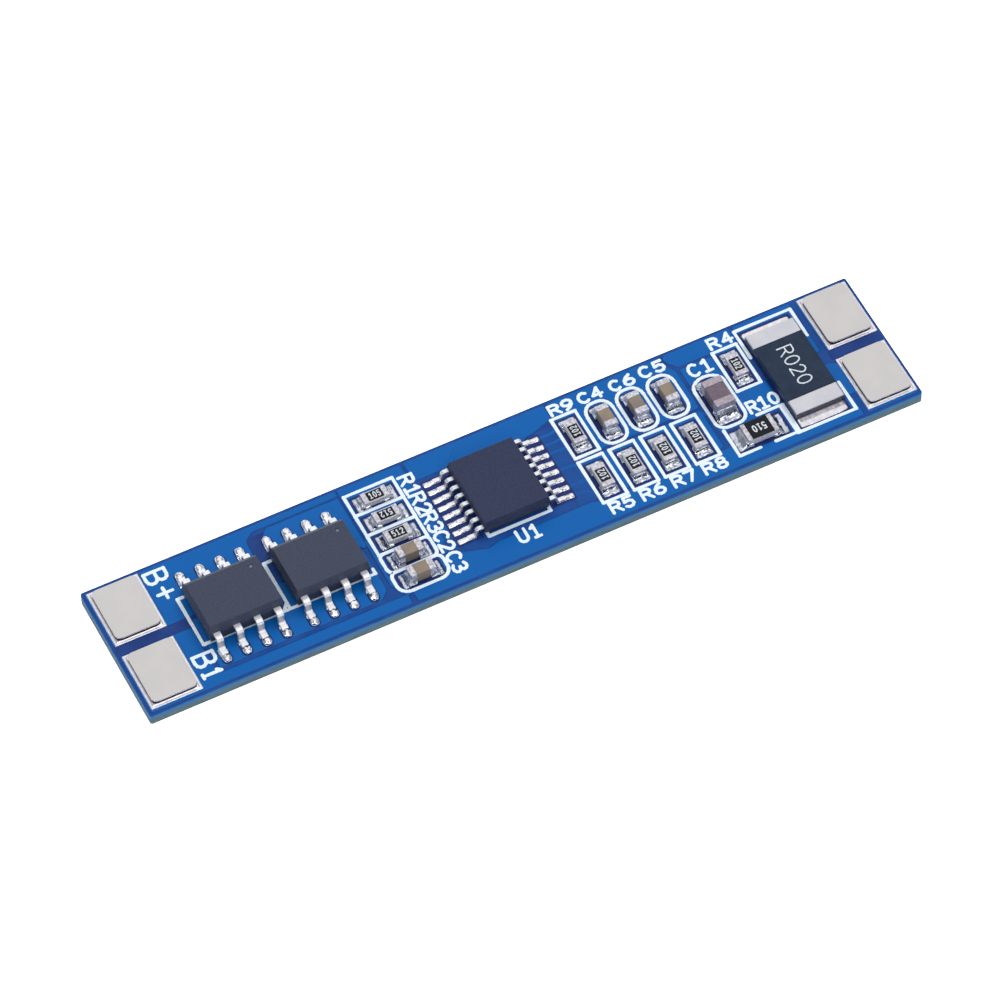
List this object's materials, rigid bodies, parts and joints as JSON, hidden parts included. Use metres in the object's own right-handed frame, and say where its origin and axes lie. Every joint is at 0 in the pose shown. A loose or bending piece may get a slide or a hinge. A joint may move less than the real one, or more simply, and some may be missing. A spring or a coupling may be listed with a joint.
{
  "type": "battery management board",
  "caption": "Narrow blue circuit strip with welding tabs at both ends, power transistors, a controller chip, a current shunt and small chip parts on its upper face.",
  "frame": {"origin": "centre of the strip's underside", "axes": "+X along the strip from the B+ and B1 tabs to the pair of output tabs, +Y across it towards the B+ tab's side, +Z out of the face that carries the parts"},
  "size_m": [0.05, 0.0096, 0.0024],
  "materials": {
    "solder_mask": "satin blue solder mask over glass-fibre laminate",
    "nickel_strip": "satin nickel strip",
    "solder": "bright solder",
    "moulding": "matt dark epoxy moulding",
    "tinned_lead": "satin tin plate",
    "alumina": "unglazed alumina",
    "resistor_coat": "dark glassy coat",
    "chip_end": "tinned chip ends",
    "print_ink": "matt white screen ink",
    "capacitor_ceramic": "tan fired ceramic"
  },
  "bodies": {
    "root": {"circuit_board": "solder_mask", "tab_b_plus": "nickel_strip", "tab_b1": "nickel_strip", "tab_p_plus": "nickel_strip", "tab_p_minus": "nickel_strip", "terminal_solder": "solder", "lead_solder": "solder", "chip_solder": "solder", "mosfet_1_case": "moulding", "mosfet_1_leads": "tinned_lead", "mosfet_2_case": "moulding", "mosfet_2_leads": "tinned_lead", "controller_case": "moulding", "controller_leads": "tinned_lead", "shunt_substrate": "resistor_coat", "shunt_coat": "resistor_coat", "shunt_caps": "chip_end", "r1_substrate": "alumina", "r1_coat": "resistor_coat", "r1_caps": "chip_end", "r2_substrate": "alumina", "r2_coat": "resistor_coat", "r2_caps": "chip_end", "r3_substrate": "alumina", "r3_coat": "resistor_coat", "r3_caps": "chip_end", "r4_substrate": "alumina", "r4_coat": "resistor_coat", "r4_caps": "chip_end", "r5_substrate": "alumina", "r5_coat": "resistor_coat", "r5_caps": "chip_end", "r6_substrate": "alumina", "r6_coat": "resistor_coat", "r6_caps": "chip_end", "r7_substrate": "alumina", "r7_coat": "resistor_coat", "r7_caps": "chip_end", "r8_substrate": "alumina", "r8_coat": "resistor_coat", "r8_caps": "chip_end", "r9_substrate": "alumina", "r9_coat": "resistor_coat", "r9_caps": "chip_end", "r10_substrate": "alumina", "r10_coat": "resistor_coat", "r10_caps": "chip_end", "c1_ceramic": "capacitor_ceramic", "c1_caps": "chip_end", "c2_ceramic": "capacitor_ceramic", "c2_caps": "chip_end", "c3_ceramic": "capacitor_ceramic", "c3_caps": "chip_end", "c4_ceramic": "capacitor_ceramic", "c4_caps": "chip_end", "c5_ceramic": "capacitor_ceramic", "c5_caps": "chip_end", "c6_ceramic": "capacitor_ceramic", "c6_caps": "chip_end"}
  },
  "joints": []
}
